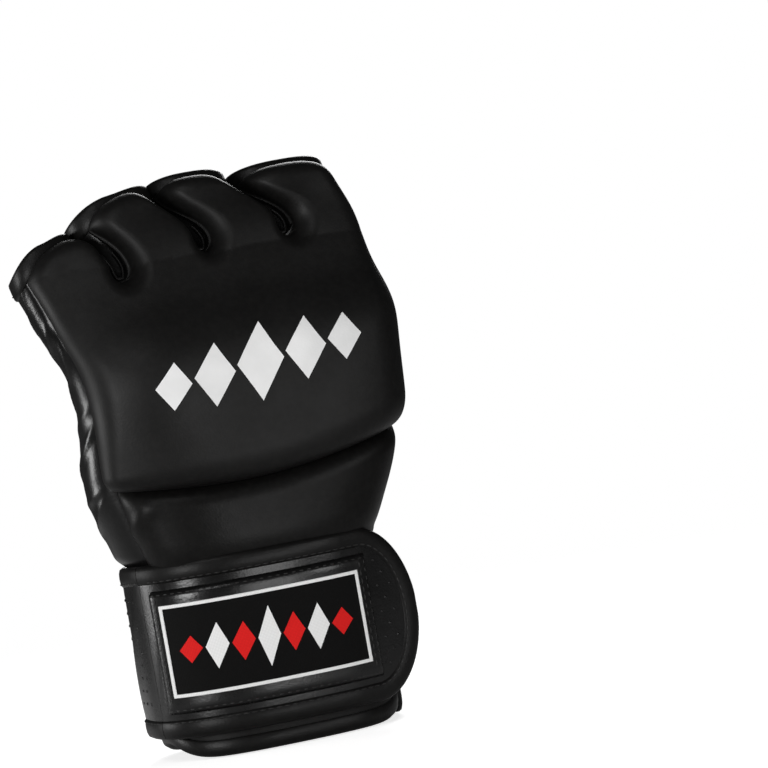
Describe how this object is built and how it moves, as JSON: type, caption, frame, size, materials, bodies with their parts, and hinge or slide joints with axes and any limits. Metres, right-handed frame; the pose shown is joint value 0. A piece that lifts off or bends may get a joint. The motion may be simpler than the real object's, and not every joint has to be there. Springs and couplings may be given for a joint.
{
  "type": "mma glove",
  "caption": "Padded open-palm mixed martial arts glove for the left hand, with open finger sleeves, a layered knuckle pad and a hook-and-loop wrist strap.",
  "frame": {"origin": "middle of the cuff's lower edge, where the wrist goes in", "axes": "+Z along the fingers, -Y towards the back of the hand, +X towards the thumb side"},
  "size_m": [0.1433, 0.0851, 0.2243],
  "materials": {
    "cover_leather": "satin black synthetic leather with a fine grain",
    "panel_leather": "glossier black synthetic leather",
    "lining": "perforated black lining",
    "foam": "grey closed-cell foam",
    "loop": "black brushed loop tape",
    "hook": "black hook tape",
    "label": "black woven label",
    "label_edge": "white woven border"
  },
  "bodies": {
    "cuff": {"cuff_lining": "lining", "cuff_foam": "foam", "cuff_cover": "cover_leather", "cuff_binding": "cover_leather", "loop_patch": "loop", "strap_band": "panel_leather", "strap_band_lining": "lining", "strap_band_binding": "cover_leather", "strap_anchor": "panel_leather", "heel_panel": "panel_leather", "heel_binding": "cover_leather", "backhand_lining": "lining", "backhand_foam": "foam", "backhand_cover": "cover_leather", "little_side_lower": "panel_leather", "thumb_side_lower": "cover_leather"},
    "strap_flap": {"flap_cover": "panel_leather", "flap_lining": "lining", "flap_binding": "cover_leather", "hook_patch": "hook", "label_panel": "panel_leather", "label_patch": "label", "label_border": "label_edge"},
    "hand": {"hand_lining": "lining", "knuckle_foam": "foam", "knuckle_cover": "cover_leather", "palm_panel": "panel_leather", "palm_binding": "cover_leather", "little_side_upper": "panel_leather", "thumb_side_upper": "cover_leather", "finger_webs": "cover_leather"},
    "finger_index": {"index_sleeve": "panel_leather", "index_hem": "cover_leather", "index_lobe_foam": "foam", "index_lobe_cover": "cover_leather"},
    "finger_middle": {"middle_sleeve": "panel_leather", "middle_hem": "cover_leather", "middle_lobe_foam": "foam", "middle_lobe_cover": "cover_leather"},
    "finger_ring": {"ring_sleeve": "panel_leather", "ring_hem": "cover_leather", "ring_lobe_foam": "foam", "ring_lobe_cover": "cover_leather"},
    "finger_little": {"little_sleeve": "panel_leather", "little_hem": "cover_leather", "little_lobe_foam": "foam", "little_lobe_cover": "cover_leather"}
  },
  "joints": [
    {"name": "strap_open", "type": "hinge", "parent": "cuff", "child": "strap_flap", "pos_m": [-0.04941, -0.01467, 0.043], "axis": [0, 0, -1], "range_deg": [0, 120]},
    {"name": "hand_flex", "type": "hinge", "parent": "cuff", "child": "hand", "pos_m": [0.003, -0.0265, 0.1175], "axis": [-1, 0, 0], "range_deg": [0, 20], "stiffness_Nm_per_rad": 1.2},
    {"name": "index_curl", "type": "hinge", "parent": "hand", "child": "finger_index", "pos_m": [0.0398, 0.001, 0.1875], "axis": [-1, 0, 0], "range_deg": [0, 25], "stiffness_Nm_per_rad": 0.3},
    {"name": "middle_curl", "type": "hinge", "parent": "hand", "child": "finger_middle", "pos_m": [0.0047, 0.001, 0.1875], "axis": [-1, 0, 0], "range_deg": [0, 25], "stiffness_Nm_per_rad": 0.3},
    {"name": "ring_curl", "type": "hinge", "parent": "hand", "child": "finger_ring", "pos_m": [-0.0279, 0.001, 0.1875], "axis": [-1, 0, 0], "range_deg": [0, 25], "stiffness_Nm_per_rad": 0.3},
    {"name": "little_curl", "type": "hinge", "parent": "hand", "child": "finger_little", "pos_m": [-0.05637, 0.001, 0.176], "axis": [-0.9511, 0, -0.309], "range_deg": [0, 25], "stiffness_Nm_per_rad": 0.3}
  ]
}
